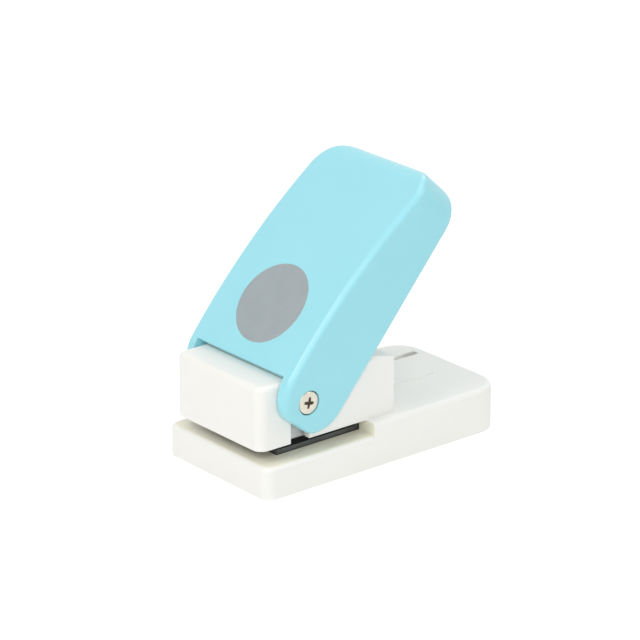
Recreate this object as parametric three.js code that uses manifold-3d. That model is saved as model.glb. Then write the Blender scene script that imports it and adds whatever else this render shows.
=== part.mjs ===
// A lever punch that cuts circles out of paper. Millimetres, +Z up, the paper goes in from the front
// (-Y) and the lever rises towards the rear. Inside the model's group, y counts from the base's front
// edge; the group then puts the origin under the middle of the base.

import * as THREE from 'three';
import { mergeVertices } from 'three/addons/utils/BufferGeometryUtils.js';
import Module from 'manifold-3d';

const wasm = await Module();
wasm.setup();

// Driving dimensions of the whole punch.
const punchedCircle = 25;
const baseLength = 87.5;
const floorHeight = 9.5;
const deckRise = 3.8;
const shellWall = 2;
const punchSetback = 24.6;
const rollerArm = 7.07;
const headOverPivot = 6.3;
const tailOverhang = 0.3;
const leverSwing = THREE.MathUtils.degToRad(47);

// The steel stack that cuts: die below, spacer, guide block above.
const dieThickness = 3.2;
const dieStand = 1.36;
const paperGap = 1.8;
const blockHeight = 4.84;
const blockWall = 2.58;
const tongueLength = 6.5;
const tongueHalfWidth = 9.5;

// Clearances shared by mating pieces, and how far a cutting body runs past what it cuts.
const cutClearance = 0.12;
const slipFit = 0.15;
const pocketGap = 0.3;
const runningGap = 0.32;
const overrun = 1;

// Heights and places that more than one piece needs.
const deckHeight = floorHeight + deckRise;
const leverTail = baseLength + tailOverhang;
const far = 2 * baseLength;
const punchRadius = punchedCircle / 2;
const boreRadius = punchRadius + cutClearance;
const dieTop = floorHeight + dieStand;
const dieBottom = dieTop - dieThickness;
const blockBottom = dieTop + paperGap;
const blockTop = blockBottom + blockHeight;
const blockHalfWidth = boreRadius + blockWall;
const dieHalfWidth = blockHalfWidth + pocketGap;
const blockFront = punchSetback - boreRadius - blockWall - pocketGap;
const blockRear = punchSetback + boreRadius + blockWall - pocketGap;
const tongueRear = blockRear + tongueLength;
const stepY = blockRear - 3 * pocketGap;

// Pivot of the lever, ahead of the punch. Its height leaves room, with the lever closed, for the
// pusher plate over the guide block and the roller over the plate, half a stroke below the pivot.
const pivotLead = 10;
const pivotY = punchSetback - pivotLead;
const rollerRadius = 2.8;
const plateThickness = 1.8;
const closedGap = 0.661;
const halfStroke = rollerArm * Math.sin(leverSwing / 2);
const punchTravel = 2 * halfStroke;
const plateTop = blockTop + closedGap + plateThickness + punchTravel;
const pivotZ = plateTop + runningGap + rollerRadius - halfStroke;
const headTop = pivotZ + headOverPivot;

// Widths, from the guide block outwards.
const cheekThickness = 2;
const cheekProud = 1.4;
const cheekOuter = blockHalfWidth + cheekProud;
const cheekInner = cheekOuter - cheekThickness;
const coverInner = cheekOuter + slipFit + pocketGap;
const coverOuter = coverInner + shellWall;
const earThickness = 3.8;
const earInner = coverOuter + pocketGap;
const leverOuter = earInner + earThickness;
const earProud = 0.4;
const baseHalfWidth = leverOuter - earProud;

// The lever's two ribs, which reach down through the head to the roller and its pin.
const ribInner = 5.5;
const leverRib = 2;
const pinRadius = 1;
const pinEnd = 0.5;
const ribLead = 4.9;
const ribLength = 12;
const ribFrontY = pivotY + ribLead;
const ribRearY = ribFrontY + ribLength;
const pinY = pivotY + rollerArm * Math.cos(leverSwing / 2);
const pinZ = pivotZ - halfStroke;

// Head cover, front to rear.
const coverFront = 0.3;
const coverRear = tongueRear + pocketGap + slipFit + shellWall + pocketGap;

// Screws: every size of them is one of these three.
const pivotScrew = { headRadius: 3.3, headHeight: 1.3, shankRadius: 1.25, crossWidth: 0.9, facets: 24 };
const frameScrew = { headRadius: 2.6, headHeight: 1.8, shankRadius: 1.25, crossWidth: 0.8, facets: 12 };
const shellScrew = { headRadius: 2.1, headHeight: 1.4, shankRadius: 1, crossWidth: 0.7, facets: 12 };

// Facets.
const roundSides = 48;
const smallSides = 20;
const cornerSides = 7;

// Finishes.
const finishes = {
  whitePlastic: { color: 0xf1f2ee, roughness: 0.35, metalness: 0 },
  turquoisePlastic: { color: 0xa3e2ea, roughness: 0.3, metalness: 0 },
  greyPrint: { color: 0xa7afb2, roughness: 0.6, metalness: 0 },
  darkSteel: { color: 0x4b4d50, roughness: 0.45, metalness: 0.9 },
  brightSteel: { color: 0xb9bcbe, roughness: 0.3, metalness: 1 },
  zinc: { color: 0xa9abab, roughness: 0.5, metalness: 0.9 },
  nickel: { color: 0xd9d4c6, roughness: 0.25, metalness: 1 },
  springWire: { color: 0x8f9296, roughness: 0.35, metalness: 1 },
};

// A closed geometry as a solid that can be joined and cut.
function solid(geometry) {
  const bare = geometry.clone();
  for (const name of ['normal', 'uv']) bare.deleteAttribute(name);
  const merged = mergeVertices(bare);
  const vertProperties = new Float32Array(merged.attributes.position.array);
  const triVerts = new Uint32Array(merged.index.array);
  return new wasm.Manifold(new wasm.Mesh({ numProp: 3, vertProperties, triVerts }));
}

// A solid back as a geometry for its mesh.
function geometryOf(body) {
  const mesh = body.getMesh();
  const geometry = new THREE.BufferGeometry();
  geometry.setAttribute('position', new THREE.BufferAttribute(mesh.vertProperties, mesh.numProp));
  geometry.setIndex(new THREE.BufferAttribute(mesh.triVerts, 1));
  geometry.computeVertexNormals();
  return geometry;
}

// The first solid with the others joined to it, or cut from it.
const joined = (first, ...others) => others.reduce((body, other) => body.add(other), first);
const cut = (first, ...others) => others.reduce((body, other) => body.subtract(other), first);

// A block between two corners.
function block([x0, y0, z0], [x1, y1, z1]) {
  const geometry = new THREE.BoxGeometry(x1 - x0, y1 - y0, z1 - z0);
  return solid(geometry.translate((x0 + x1) / 2, (y0 + y1) / 2, (z0 + z1) / 2));
}

// A round bar along z.
function barZ(radius, x, y, z0, z1, sides = smallSides) {
  const geometry = new THREE.CylinderGeometry(radius, radius, z1 - z0, sides);
  return solid(geometry.rotateX(Math.PI / 2).translate(x, y, (z0 + z1) / 2));
}

// A round bar along x.
function barX(radius, y, z, x0, x1, sides = smallSides) {
  const geometry = new THREE.CylinderGeometry(radius, radius, x1 - x0, sides);
  return solid(geometry.rotateZ(Math.PI / 2).translate((x0 + x1) / 2, y, z));
}

// Points of an arc about (u, v), both ends included.
function arcPoints(u, v, radius, from, to, steps) {
  return Array.from({ length: steps + 1 }, (_, i) => {
    const angle = from + ((to - from) * i) / steps;
    return new THREE.Vector2(u + radius * Math.cos(angle), v + radius * Math.sin(angle));
  });
}

// Outline of a rectangle whose front and rear corners have their own radii.
function roundedOutline(halfWidth, front, rear, frontRadius, rearRadius) {
  const quarter = Math.PI / 2;
  const corner = (u, v, radius, turn) => {
    return arcPoints(u, v, radius, turn * quarter, (turn + 1) * quarter, cornerSides);
  };
  return new THREE.Shape([
    ...corner(frontRadius - halfWidth, front + frontRadius, frontRadius, 2),
    ...corner(halfWidth - frontRadius, front + frontRadius, frontRadius, 3),
    ...corner(halfWidth - rearRadius, rear - rearRadius, rearRadius, 0),
    ...corner(rearRadius - halfWidth, rear - rearRadius, rearRadius, 1),
  ]);
}

// A plan outline raised from z0 to z1.
function raised(outline, z0, z1) {
  const geometry = new THREE.ExtrudeGeometry(outline, { depth: z1 - z0, bevelEnabled: false });
  return solid(geometry.translate(0, 0, z0));
}

// The same with its upper edge rounded: both ends are rounded, then the lower one is cut off.
function raisedRound(outline, z0, z1, fillet, bevelSegments) {
  const settings = { bevelThickness: fillet, bevelSize: fillet, bevelOffset: -fillet, bevelSegments };
  const geometry = new THREE.ExtrudeGeometry(outline, { depth: z1 - z0, ...settings });
  const body = solid(geometry.translate(0, 0, z0 - fillet));
  const below = block([-far, -far, z0 - 3 * fillet], [far, far, z0]);
  return body.subtract(below);
}

// A side outline, drawn as (y, z), spread along x from x0 to x1.
function spread(outline, x0, x1) {
  const geometry = new THREE.ExtrudeGeometry(outline, { depth: x1 - x0, bevelEnabled: false });
  return solid(geometry.rotateX(Math.PI / 2).rotateZ(Math.PI / 2).translate(x0, 0, 0));
}

// One piece: a named mesh with its finish.
function piece(name, body, finish) {
  const geometry = body.isBufferGeometry ? body : geometryOf(body);
  const mesh = new THREE.Mesh(geometry, new THREE.MeshStandardMaterial(finishes[finish]));
  mesh.name = name;
  return mesh;
}

// The plan of the steel stack: a plate as wide as the bore needs and a narrower tongue behind it.
function stackPlan(halfWidth, front, z0, z1) {
  const plate = block([-halfWidth, front, z0], [halfWidth, blockRear, z1]);
  const tongue = block([-tongueHalfWidth, blockRear - overrun, z0], [tongueHalfWidth, tongueRear, z1]);
  return plate.add(tongue);
}

// Places of the screws, shared by what they join.
const frameScrewX = tongueHalfWidth / 2;
const frameScrewY = (blockRear + tongueRear) / 2;
const dieScrewOffset = boreRadius * Math.SQRT1_2 + shellScrew.headRadius + shellWall / 2;
const dieScrewLength = 2 * shellWall + slipFit;
const coverPostRadius = 2.6;
const coverPostX = coverInner - coverPostRadius + pocketGap;
const coverPostY = coverRear - shellWall - coverPostRadius - pocketGap;
const coverScrewDepth = 6;

// Both signs, for what comes in left and right pairs.
const sides = [-1, 1];

// The four places round the punch that stand off by the same amount in x and y.
function roundPunch(offset) {
  return sides.flatMap((sx) => sides.map((sy) => [sx * offset, punchSetback + sy * offset]));
}

// Base shell: one moulding, open below. Its floor carries the paper, its deck the head.
const frontCorner = 3.2;
const rearCorner = 9;
const baseFillet = 1.4;
const filletSides = 5;
const floorPlate = 2.2;
const chuteGap = 0.6;
const chuteWall = 1.6;
const seatRim = 2.2;
const ribThickness = 1.2;
const ribDepth = 6;
const crossRibShares = [0.333, 0.667];
const stripHalfWidth = 4;
const stripHeight = 0.4;
const stripEnd = 10.5;
const stripRear = baseLength - stripEnd;

// Slot in the deck for the storage lock, left of the middle.
const lockX = -12;
const slotWidth = 2.2;
const slotShare = 0.588;
const slotRearWall = 3.6;
const slotRear = baseLength - slotRearWall;
const slotFront = slotRear - slotShare * (baseLength - coverRear);

// The lock slider in its slot and the keeper under it. The slider moves by lockTravel.
const lockTravel = 1.4;
const catchRoom = 4.1;
const tongueSink = 0.8;
const sliderFlange = 3.5;
const sliderFlangeHeight = 1.9;
const sliderRear = slotRear - catchRoom;
const sliderFront = slotFront + pocketGap;
const flangeLength = 12;
const keeperThickness = 1.6;
const keeperLength = 7;
const keeperBossRadius = 2.2;
const deckUnder = deckHeight - floorPlate;
const flangeTop = deckUnder - pocketGap;
const flangeBottom = flangeTop - sliderFlangeHeight;
const keeperTop = flangeBottom - pocketGap;
const keeperBottom = keeperTop - keeperThickness;
const keeperBossOffset = sliderFlange + pocketGap + keeperBossRadius;
const keeperY = sliderFront + flangeLength / 2;
const keeperPlaces = sides.map((s) => lockX + s * keeperBossOffset);

// Everything under the die that carries it: the seat, the walls of the pocket and the chip chute.
function dieSeat() {
  const bottom = dieBottom - shellWall;
  const wide = dieHalfWidth + pocketGap + seatRim;
  const narrow = tongueHalfWidth + pocketGap + seatRim;
  const front = blockFront - pocketGap - seatRim;
  const plateTopZ = floorHeight - floorPlate + overrun;
  const plate = block([-wide, front, bottom], [wide, blockRear + seatRim, plateTopZ]);
  const rear = tongueRear + pocketGap + seatRim;
  const box = block([-narrow, blockRear, bottom], [narrow, rear, deckUnder + overrun]);
  const chute = barZ(boreRadius + chuteGap + chuteWall, 0, punchSetback, chuteGap, dieBottom, roundSides);
  return joined(plate, box, chute);
}

// What the steel stack and the falling chips need clear.
function diePocket() {
  const wide = dieHalfWidth + pocketGap;
  const narrow = tongueHalfWidth + pocketGap;
  const above = deckHeight + overrun;
  const plate = block([-wide, blockFront - pocketGap, dieBottom], [wide, blockRear + pocketGap, above]);
  const tongue = block([-narrow, blockRear, dieBottom], [narrow, tongueRear + pocketGap, above]);
  const chute = barZ(boreRadius + chuteGap, 0, punchSetback, -overrun, above, roundSides);
  return joined(plate, tongue, chute);
}

// Stiffening ribs under the deck, clear of the lock, and the posts that the keeper is screwed to.
function deckRibs() {
  const inside = baseHalfWidth - shellWall / 2;
  const top = deckUnder + floorPlate / 2;
  const bottom = deckUnder - ribDepth;
  const behind = tongueRear + seatRim;
  const innerRear = baseLength - shellWall / 2;
  const long = block([-ribThickness / 2, behind, bottom], [ribThickness / 2, innerRear, top]);
  const crossPlaces = crossRibShares.map((share) => behind + share * (baseLength - behind));
  const across = crossPlaces.map((y) => block([0, y, bottom], [inside, y + ribThickness, top]));
  const posts = keeperPlaces.map((x) => barZ(keeperBossRadius, x, keeperY, keeperTop, top));
  return joined(long, ...across, ...posts);
}

// Holes for the screws that go up through the base.
function baseHoles() {
  const radius = shellScrew.shankRadius + slipFit;
  const through = [deckUnder - overrun, deckHeight + overrun];
  const blind = [keeperTop - overrun, deckHeight - floorPlate / 2];
  const die = roundPunch(dieScrewOffset).map(([x, y]) => barZ(radius, x, y, -overrun, dieBottom + overrun));
  const posts = sides.map((s) => barZ(radius, s * coverPostX, coverPostY, ...through));
  const keeper = keeperPlaces.map((x) => barZ(radius, x, keeperY, ...blind));
  const headRoom = shellScrew.headRadius + pocketGap;
  const heads = sides.map((s) => barZ(headRoom, s * coverPostX, coverPostY, 0, deckUnder));
  return joined(...die, ...posts, ...keeper, ...heads);
}

function baseShell() {
  const outline = roundedOutline(baseHalfWidth, 0, baseLength, frontCorner, rearCorner);
  const low = raisedRound(outline, 0, floorHeight, baseFillet, filletSides);
  const high = raisedRound(outline, 0, deckHeight, baseFillet, filletSides);
  const ahead = block([-far, -overrun, -overrun], [far, stepY, deckHeight + overrun]);
  const stripTop = deckHeight + stripHeight;
  const strip = block([-stripHalfWidth, coverRear, deckUnder], [stripHalfWidth, stripRear, stripTop]);
  const body = joined(low, high.subtract(ahead), strip);

  const inner = baseHalfWidth - shellWall;
  const innerRear = baseLength - shellWall;
  const innerCorners = [frontCorner - shellWall, rearCorner - shellWall];
  const insideLine = roundedOutline(inner, shellWall, innerRear, ...innerCorners);
  const lowHollow = raised(insideLine, -overrun, floorHeight - floorPlate);
  const highHollow = raised(insideLine, -overrun, deckUnder);
  const aheadInside = block([-far, -overrun, -2 * overrun], [far, stepY + shellWall, deckHeight]);
  const hollow = lowHollow.add(highHollow.subtract(aheadInside));

  const slotX = slotWidth / 2;
  const slot = block([lockX - slotX, slotFront, 0], [lockX + slotX, slotRear, deckHeight + overrun]);
  const shell = joined(body.subtract(hollow), dieSeat(), deckRibs());
  return piece('base_shell', cut(shell, diePocket(), slot, baseHoles()), 'whitePlastic');
}

// Lower die: the steel plate with the round hole that the punch cuts against.
function lowerDie() {
  const plate = stackPlan(dieHalfWidth, blockFront, dieBottom, dieTop);
  const hole = barZ(boreRadius, 0, punchSetback, dieBottom - overrun, dieTop + overrun, roundSides);
  const tapped = shellScrew.shankRadius + slipFit;
  const tappedTop = dieTop - dieThickness / 4;
  const tappedBottom = dieBottom - overrun;
  const corners = roundPunch(dieScrewOffset).map(([x, y]) => barZ(tapped, x, y, tappedBottom, tappedTop));
  return piece('lower_die', cut(plate, hole, ...corners, ...frameHoles(dieBottom, dieTop)), 'darkSteel');
}

// The two holes that the frame screws pass through, over the height asked for.
function frameHoles(z0, z1) {
  const radius = frameScrew.shankRadius + slipFit;
  return sides.map((s) => barZ(radius, s * frameScrewX, frameScrewY, z0 - overrun, z1 + overrun));
}

// Spacer: sets the gap that the paper slides into, and its front edge stops the paper.
const stopBar = 1.9;

function dieSpacer() {
  const plate = stackPlan(blockHalfWidth, blockRear - stopBar, dieTop, blockBottom);
  return piece('die_spacer', cut(plate, ...frameHoles(dieTop, blockBottom)), 'brightSteel');
}

// Springs that lift the punch: wire, coil and curls, and their pockets in the guide block.
const springWire = 0.3;
const springCoil = 1.65;
const springCurls = 6;
const springPocketGap = 0.45;
const springSeatDepth = 3.3;
const springPocket = springCoil + springWire + springPocketGap;
const springOffset = (boreRadius + shellWall / 2 + springPocket) * Math.SQRT1_2 + slipFit;
const springSeat = blockTop - springSeatDepth;
const plateBottom = plateTop - plateThickness;

// Guide block: carries the lever's pivots on two cheeks and guides the punch.
const cheekHalfLength = 3.2;
const cheekLift = 1;
const bossRadius = 3;
const journalRadius = 2.2;
const headSeat = 1.5;
const bossOuter = coverOuter;
const journalOuter = leverOuter - headSeat + pocketGap;

function guideCheek(side) {
  const span = (x0, x1) => (side > 0 ? [x0, x1] : [-x1, -x0]);
  const [inner, outer] = span(cheekInner, cheekOuter);
  const [front, rear] = [pivotY - cheekHalfLength, pivotY + cheekHalfLength];
  const post = block([inner, front, blockBottom + cheekLift], [outer, rear, pivotZ]);
  const crown = barX(cheekHalfLength, pivotY, pivotZ, inner, outer);
  const boss = barX(bossRadius, pivotY, pivotZ, ...span(cheekInner, bossOuter));
  const journal = barX(journalRadius, pivotY, pivotZ, ...span(cheekInner, journalOuter));
  return joined(post, crown, boss, journal);
}

function guideBlock() {
  const plate = stackPlan(blockHalfWidth, blockFront, blockBottom, blockTop);
  const over = blockTop + overrun;
  const bore = barZ(boreRadius, 0, punchSetback, blockBottom - overrun, over, roundSides);
  const pockets = roundPunch(springOffset).map(([x, y]) => barZ(springPocket, x, y, springSeat, over));
  const screwHole = barX(pivotScrew.shankRadius + slipFit, pivotY, pivotZ, -far, far);
  const body = joined(plate, ...sides.map(guideCheek));
  const holes = frameHoles(blockBottom, blockTop);
  return piece('guide_block', cut(body, bore, screwHole, ...pockets, ...holes), 'zinc');
}

// Head cover: the white shell over the guide block, open below and slotted for the lever.
const coverCorner = 2.9;
const coverFillet = 1.6;
const slopeStart = 8.6;
const slopeFall = 2.1;
const pivotSlot = bossRadius + slipFit + slipFit;
const openingLead = 0.6;
const ribRoom = 0.6;

// The wedge over the cover's rear that its sloping top leaves free, lowered by drop.
function slopeWedge(drop) {
  const startY = coverRear - slopeStart;
  const endY = coverRear + overrun;
  const fall = (slopeFall * (endY - startY)) / slopeStart;
  const top = headTop - drop;
  const wedge = new THREE.Shape([
    new THREE.Vector2(startY, top),
    new THREE.Vector2(endY, top - fall),
    new THREE.Vector2(endY, top + far),
    new THREE.Vector2(startY, top + far),
  ]);
  return spread(wedge, -leverOuter, leverOuter);
}

function headCover() {
  const outline = roundedOutline(coverOuter, coverFront, coverRear + leverOuter, coverCorner, coverCorner);
  const behind = block([-far, coverRear, 0], [far, coverRear + far, headTop + overrun]);
  const long = raisedRound(outline, deckHeight, headTop, coverFillet, filletSides);
  const body = cut(long, slopeWedge(0), behind);
  const innerCorner = coverCorner - shellWall;
  const innerRear = coverRear - shellWall;
  const insideLine = roundedOutline(coverInner, coverFront + shellWall, innerRear, innerCorner, slipFit);
  const ceiling = headTop - shellWall;
  const inside = raised(insideLine, deckHeight - overrun, ceiling).subtract(slopeWedge(shellWall));
  const posts = sides.map((s) => {
    return barZ(coverPostRadius, s * coverPostX, coverPostY, deckHeight, headTop - shellWall / 2);
  });
  const screwHoles = sides.map((s) => {
    const top = deckHeight + coverScrewDepth + pocketGap;
    return barZ(shellScrew.shankRadius + slipFit, s * coverPostX, coverPostY, deckHeight - overrun, top);
  });
  const slotBottom = deckHeight - overrun;
  const slot = block([-far, pivotY - pivotSlot, slotBottom], [far, pivotY + pivotSlot, pivotZ]);
  const slotTop = barX(pivotSlot, pivotY, pivotZ, -far, far);
  const over = headTop + overrun;
  const openingHalf = ribInner + leverRib + pinEnd + ribRoom;
  const openingRear = ribRearY + ribRoom + overrun;
  const opening = block([-openingHalf, pivotY - openingLead, deckHeight], [openingHalf, openingRear, over]);
  const trimmedPosts = joined(...posts).subtract(slopeWedge(shellWall / 2));
  const shell = joined(body.subtract(inside), trimmedPosts);
  return piece('head_cover', cut(shell, slot, slotTop, opening, ...screwHoles), 'whitePlastic');
}

// A pan-head screw with a cross recess, head up, its head's underside at the origin.
function screw({ headRadius, headHeight, shankRadius, crossWidth, facets }, length) {
  const half = headHeight / 2;
  const profile = [
    [0, -length],
    [shankRadius / 2, -length],
    [shankRadius, shankRadius / 2 - length],
    [shankRadius, 0],
    [headRadius, 0],
    [headRadius, half],
    [(headRadius + shankRadius) / 2, headHeight],
    [0, headHeight],
  ].map(([r, z]) => new THREE.Vector2(r, z));
  const turned = solid(new THREE.LatheGeometry(profile, facets).rotateX(Math.PI / 2));
  const arm = headRadius / 2;
  const w = crossWidth / 2;
  const recessTop = headHeight + overrun;
  const alongX = block([-arm, -w, half], [arm, w, recessTop]);
  const alongY = block([-w, -arm, half], [w, arm, recessTop]);
  return cut(turned, alongX, alongY);
}

// Screws with their heads below, driven upwards at (x, y) from height z.
function screwUp(name, size, length, x, y, z) {
  const mesh = piece(name, screw(size, length), 'brightSteel');
  mesh.rotation.x = Math.PI;
  mesh.position.set(x, y, z);
  return mesh;
}

function dieScrews() {
  const z = dieBottom - shellWall;
  const names = ['front_left', 'rear_left', 'front_right', 'rear_right'];
  const places = roundPunch(dieScrewOffset);
  return places.map(([x, y], i) => screwUp(`die_screw_${names[i]}`, shellScrew, dieScrewLength, x, y, z));
}

function coverScrews() {
  const length = floorPlate + coverScrewDepth;
  return sides.map((s) => {
    const name = `cover_screw_${s < 0 ? 'left' : 'right'}`;
    return screwUp(name, shellScrew, length, s * coverPostX, coverPostY, deckUnder);
  });
}

function keeperScrews() {
  const length = keeperThickness + (deckHeight - floorPlate / 2 - keeperTop) - pocketGap;
  return sides.map((s, i) => {
    const name = `keeper_screw_${s < 0 ? 'left' : 'right'}`;
    return screwUp(name, shellScrew, length, keeperPlaces[i], keeperY, keeperBottom);
  });
}

function frameScrews() {
  return sides.map((s) => {
    const name = `frame_screw_${s < 0 ? 'left' : 'right'}`;
    const mesh = piece(name, screw(frameScrew, blockTop - dieBottom - pocketGap), 'brightSteel');
    mesh.position.set(s * frameScrewX, frameScrewY, blockTop);
    return mesh;
  });
}

// Pivot screws: their heads sit in the ears' recesses against the ends of the journals.
function pivotScrews() {
  const length = journalOuter - cheekInner - slipFit;
  return sides.map((s) => {
    const name = `pivot_screw_${s < 0 ? 'left' : 'right'}`;
    const mesh = piece(name, screw(pivotScrew, length), 'nickel');
    mesh.rotation.y = (s * Math.PI) / 2;
    mesh.position.set(s * journalOuter, pivotY, pivotZ);
    return mesh;
  });
}

// Punch: the steel cutter. Its edge is scooped so that it shears, and it is turned hollow above.
const edgeLift = 0.34;
const scoopDepth = 0.8;
const punchRim = 2.2;
const punchHub = 4.5;
const punchFloor = 3;
const hubScrewDepth = 5;

function punch() {
  const edge = blockBottom + edgeLift;
  const body = barZ(punchRadius, 0, punchSetback, edge, plateBottom, roundSides);
  const scoopRadius = (punchRadius ** 2 + scoopDepth ** 2) / (2 * scoopDepth);
  const scoopZ = edge + scoopDepth - scoopRadius;
  const scoop = barX(scoopRadius, punchSetback, scoopZ, -punchedCircle, punchedCircle, 8 * roundSides);
  const hollowFrom = edge + punchFloor;
  const hollow = barZ(punchRadius - punchRim, 0, punchSetback, hollowFrom, plateBottom + overrun, roundSides);
  const hub = barZ(punchHub, 0, punchSetback, hollowFrom - overrun, plateBottom + 2 * overrun);
  const screwBottom = plateBottom - hubScrewDepth - pocketGap;
  const holeRadius = shellScrew.shankRadius + slipFit;
  const screwHole = barZ(holeRadius, 0, punchSetback, screwBottom, plateBottom + overrun);
  return piece('punch', cut(body, scoop, hollow.subtract(hub), screwHole), 'brightSteel');
}

// Pusher plate on the punch, with a nub inside each spring and a sunk seat for its screw.
const plateCorner = 3.4;
const plateMargin = 0.1;
const nubRadius = 0.95;
const nubLength = 1.6;
const sunkRadius = shellScrew.headRadius + slipFit;
const sunkDepth = plateThickness - shellScrew.headHeight;

function pusherPlate() {
  const half = springOffset + springPocket - plateMargin;
  const outline = roundedOutline(half, punchSetback - half, punchSetback + half, plateCorner, plateCorner);
  const plate = raised(outline, plateBottom, plateTop);
  const under = plateBottom - nubLength;
  const nubs = roundPunch(springOffset).map(([x, y]) => barZ(nubRadius, x, y, under, plateBottom + slipFit));
  const seat = barZ(sunkRadius, 0, punchSetback, plateBottom + sunkDepth, plateTop + overrun);
  const hole = barZ(shellScrew.shankRadius + slipFit, 0, punchSetback, plateBottom - overrun, plateTop);
  return piece('pusher_plate', cut(joined(plate, ...nubs), seat, hole), 'brightSteel');
}

function plateScrew() {
  const mesh = piece('plate_screw', screw(shellScrew, hubScrewDepth + sunkDepth), 'brightSteel');
  mesh.position.set(0, punchSetback, plateBottom + sunkDepth);
  return mesh;
}

// A return spring standing in its pocket, one unbroken wire.
class CoilCurve extends THREE.Curve {
  constructor(x, y, z0, z1) {
    super();
    Object.assign(this, { x, y, z0, z1 });
  }

  getPoint(t, target = new THREE.Vector3()) {
    const angle = 2 * Math.PI * springCurls * t;
    const z = this.z0 + (this.z1 - this.z0) * t;
    return target.set(this.x + springCoil * Math.cos(angle), this.y + springCoil * Math.sin(angle), z);
  }
}

const curlSteps = 8;
const wireSides = 5;

// Least gap between one spring's curls, measured on points of its wire half a curl or more apart.
function leastSpringGap(path) {
  const points = path.getPoints(springCurls * curlSteps);
  const apart = curlSteps / 2;
  let least = Infinity;
  points.forEach((point, i) => {
    for (const other of points.slice(i + apart)) least = Math.min(least, point.distanceTo(other));
  });
  return least - 2 * springWire;
}

function returnSprings() {
  const names = ['front_left', 'rear_left', 'front_right', 'rear_right'];
  const section = new THREE.Shape(arcPoints(0, 0, springWire, 0, 2 * Math.PI, wireSides).slice(1));
  const endGap = springWire + slipFit;
  return roundPunch(springOffset).map(([x, y], i) => {
    const extrudePath = new CoilCurve(x, y, springSeat + endGap, plateBottom - endGap);
    const geometry = new THREE.ExtrudeGeometry(section, { steps: springCurls * curlSteps, extrudePath });
    return piece(`return_spring_${names[i]}`, solid(geometry), 'springWire');
  });
}

// Lever, drawn closed over the head. Its side outline is a long top arc, a round nose about the pivot,
// a short tail wall and a straight underside that rises towards the tail.
const crownShare = 0.297;
const topArcY = pivotY + crownShare * (leverTail - pivotY);
const tailFall = 6.07;
const topArcRadius = ((leverTail - topArcY) ** 2 + tailFall ** 2) / (2 * tailFall);
const plateOverHead = 4.53;
const leverTop = headTop + plateOverHead;
const noseRadius = 11.4;
const noseLead = 3.05;
const tailWall = 5.58;
const tailTopCorner = 6.2;
const tailLowCorner = 4.3;
const tailPlanCorner = 10.6;
const leverFillet = 1.9;
const leverPlate = 2.2;
const plateLead = 2;
const plateEdge = pivotY + plateLead;
const topArcSteps = 14;
const noseSteps = 16;

const topArcZ = leverTop - topArcRadius;
const noseY = pivotY + noseLead;
const noseReach = topArcRadius - noseRadius;
const noseZ = topArcZ + Math.sqrt(noseReach ** 2 - (topArcY - noseY) ** 2);

// Height of the lever's top surface, or of an arc inset under it, at y.
const arcHeight = (y, inset = 0) => topArcZ + Math.sqrt((topArcRadius - inset) ** 2 - (y - topArcY) ** 2);

// Centres of the tail's two corners, and the slope of the line that touches the nose and the lower one.
const tailTopY = leverTail - tailTopCorner;
const tailTopZ = arcHeight(tailTopY, tailTopCorner);
const tailLowY = leverTail - tailLowCorner;
const tailLowZ = tailTopZ - tailWall;
const noseToTail = Math.hypot(tailLowY - noseY, tailLowZ - noseZ);
const centreLine = Math.atan2(tailLowZ - noseZ, tailLowY - noseY);
const undersideRise = centreLine + Math.asin((noseRadius - tailLowCorner) / noseToTail);

// The lever's corner between tail and top, for a wall face inset from the outside.
function tailTopPoints(inset) {
  const end = Math.atan2(tailTopZ - topArcZ, tailTopY - topArcY);
  return { points: arcPoints(tailTopY, tailTopZ, tailTopCorner - inset, 0, end, cornerSides), end };
}

function leverOutline() {
  const quarter = Math.PI / 2;
  const lowCorner = arcPoints(tailLowY, tailLowZ, tailLowCorner, undersideRise - quarter, 0, cornerSides);
  const { points: topCorner, end } = tailTopPoints(0);
  const noseEnd = Math.atan2(noseZ - topArcZ, noseY - topArcY);
  const top = arcPoints(topArcY, topArcZ, topArcRadius, end, noseEnd, topArcSteps).slice(1, -1);
  const nose = arcPoints(noseY, noseZ, noseRadius, noseEnd, 3 * quarter + undersideRise, noseSteps);
  return new THREE.Shape([...lowCorner, ...topCorner, ...top, ...nose]);
}

// The lever's full block: the side outline with rounded edges, its tail rounded in plan as well.
function leverBlock() {
  const settings = {
    depth: 2 * (leverOuter - leverFillet),
    bevelThickness: leverFillet,
    bevelSize: leverFillet,
    bevelOffset: -leverFillet,
    bevelSegments: 3,
  };
  const geometry = new THREE.ExtrudeGeometry(leverOutline(), settings);
  geometry.rotateX(Math.PI / 2).rotateZ(Math.PI / 2).translate(leverFillet - leverOuter, 0, 0);
  const plan = roundedOutline(leverOuter, -leverOuter, leverTail, leverFillet, tailPlanCorner);
  return solid(geometry).intersect(raised(plan, 0, leverTop + overrun));
}

// The space between the ears and under the plate, and the notch ahead of the plate.
function leverHollow() {
  const { points: corner, end } = tailTopPoints(leverPlate);
  const innerTail = leverTail - leverPlate;
  const frontAngle = Math.acos((-topArcY) / (topArcRadius - leverPlate));
  const under = arcPoints(topArcY, topArcZ, topArcRadius - leverPlate, end, frontAngle, topArcSteps).slice(1);
  const floor = [new THREE.Vector2(0, 0), new THREE.Vector2(innerTail, 0)];
  const outline = new THREE.Shape([...floor, ...corner, ...under]);
  const planCorner = tailPlanCorner - leverPlate;
  const plan = roundedOutline(earInner, -leverOuter, innerTail, leverFillet, planCorner);
  const hollow = spread(outline, -earInner, earInner).intersect(raised(plan, 0, leverTop));
  const notch = block([-earInner, -leverOuter, 0], [earInner, plateEdge, leverTop + overrun]);
  return hollow.add(notch);
}

// Ribs under the plate: round the roller's pin, shallow over the head, deeper behind it.
const ribEndRadius = 2.4;
const tailRibDepth = 9;
const tailRibEnd = leverTail - 3 * leverPlate;

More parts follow.
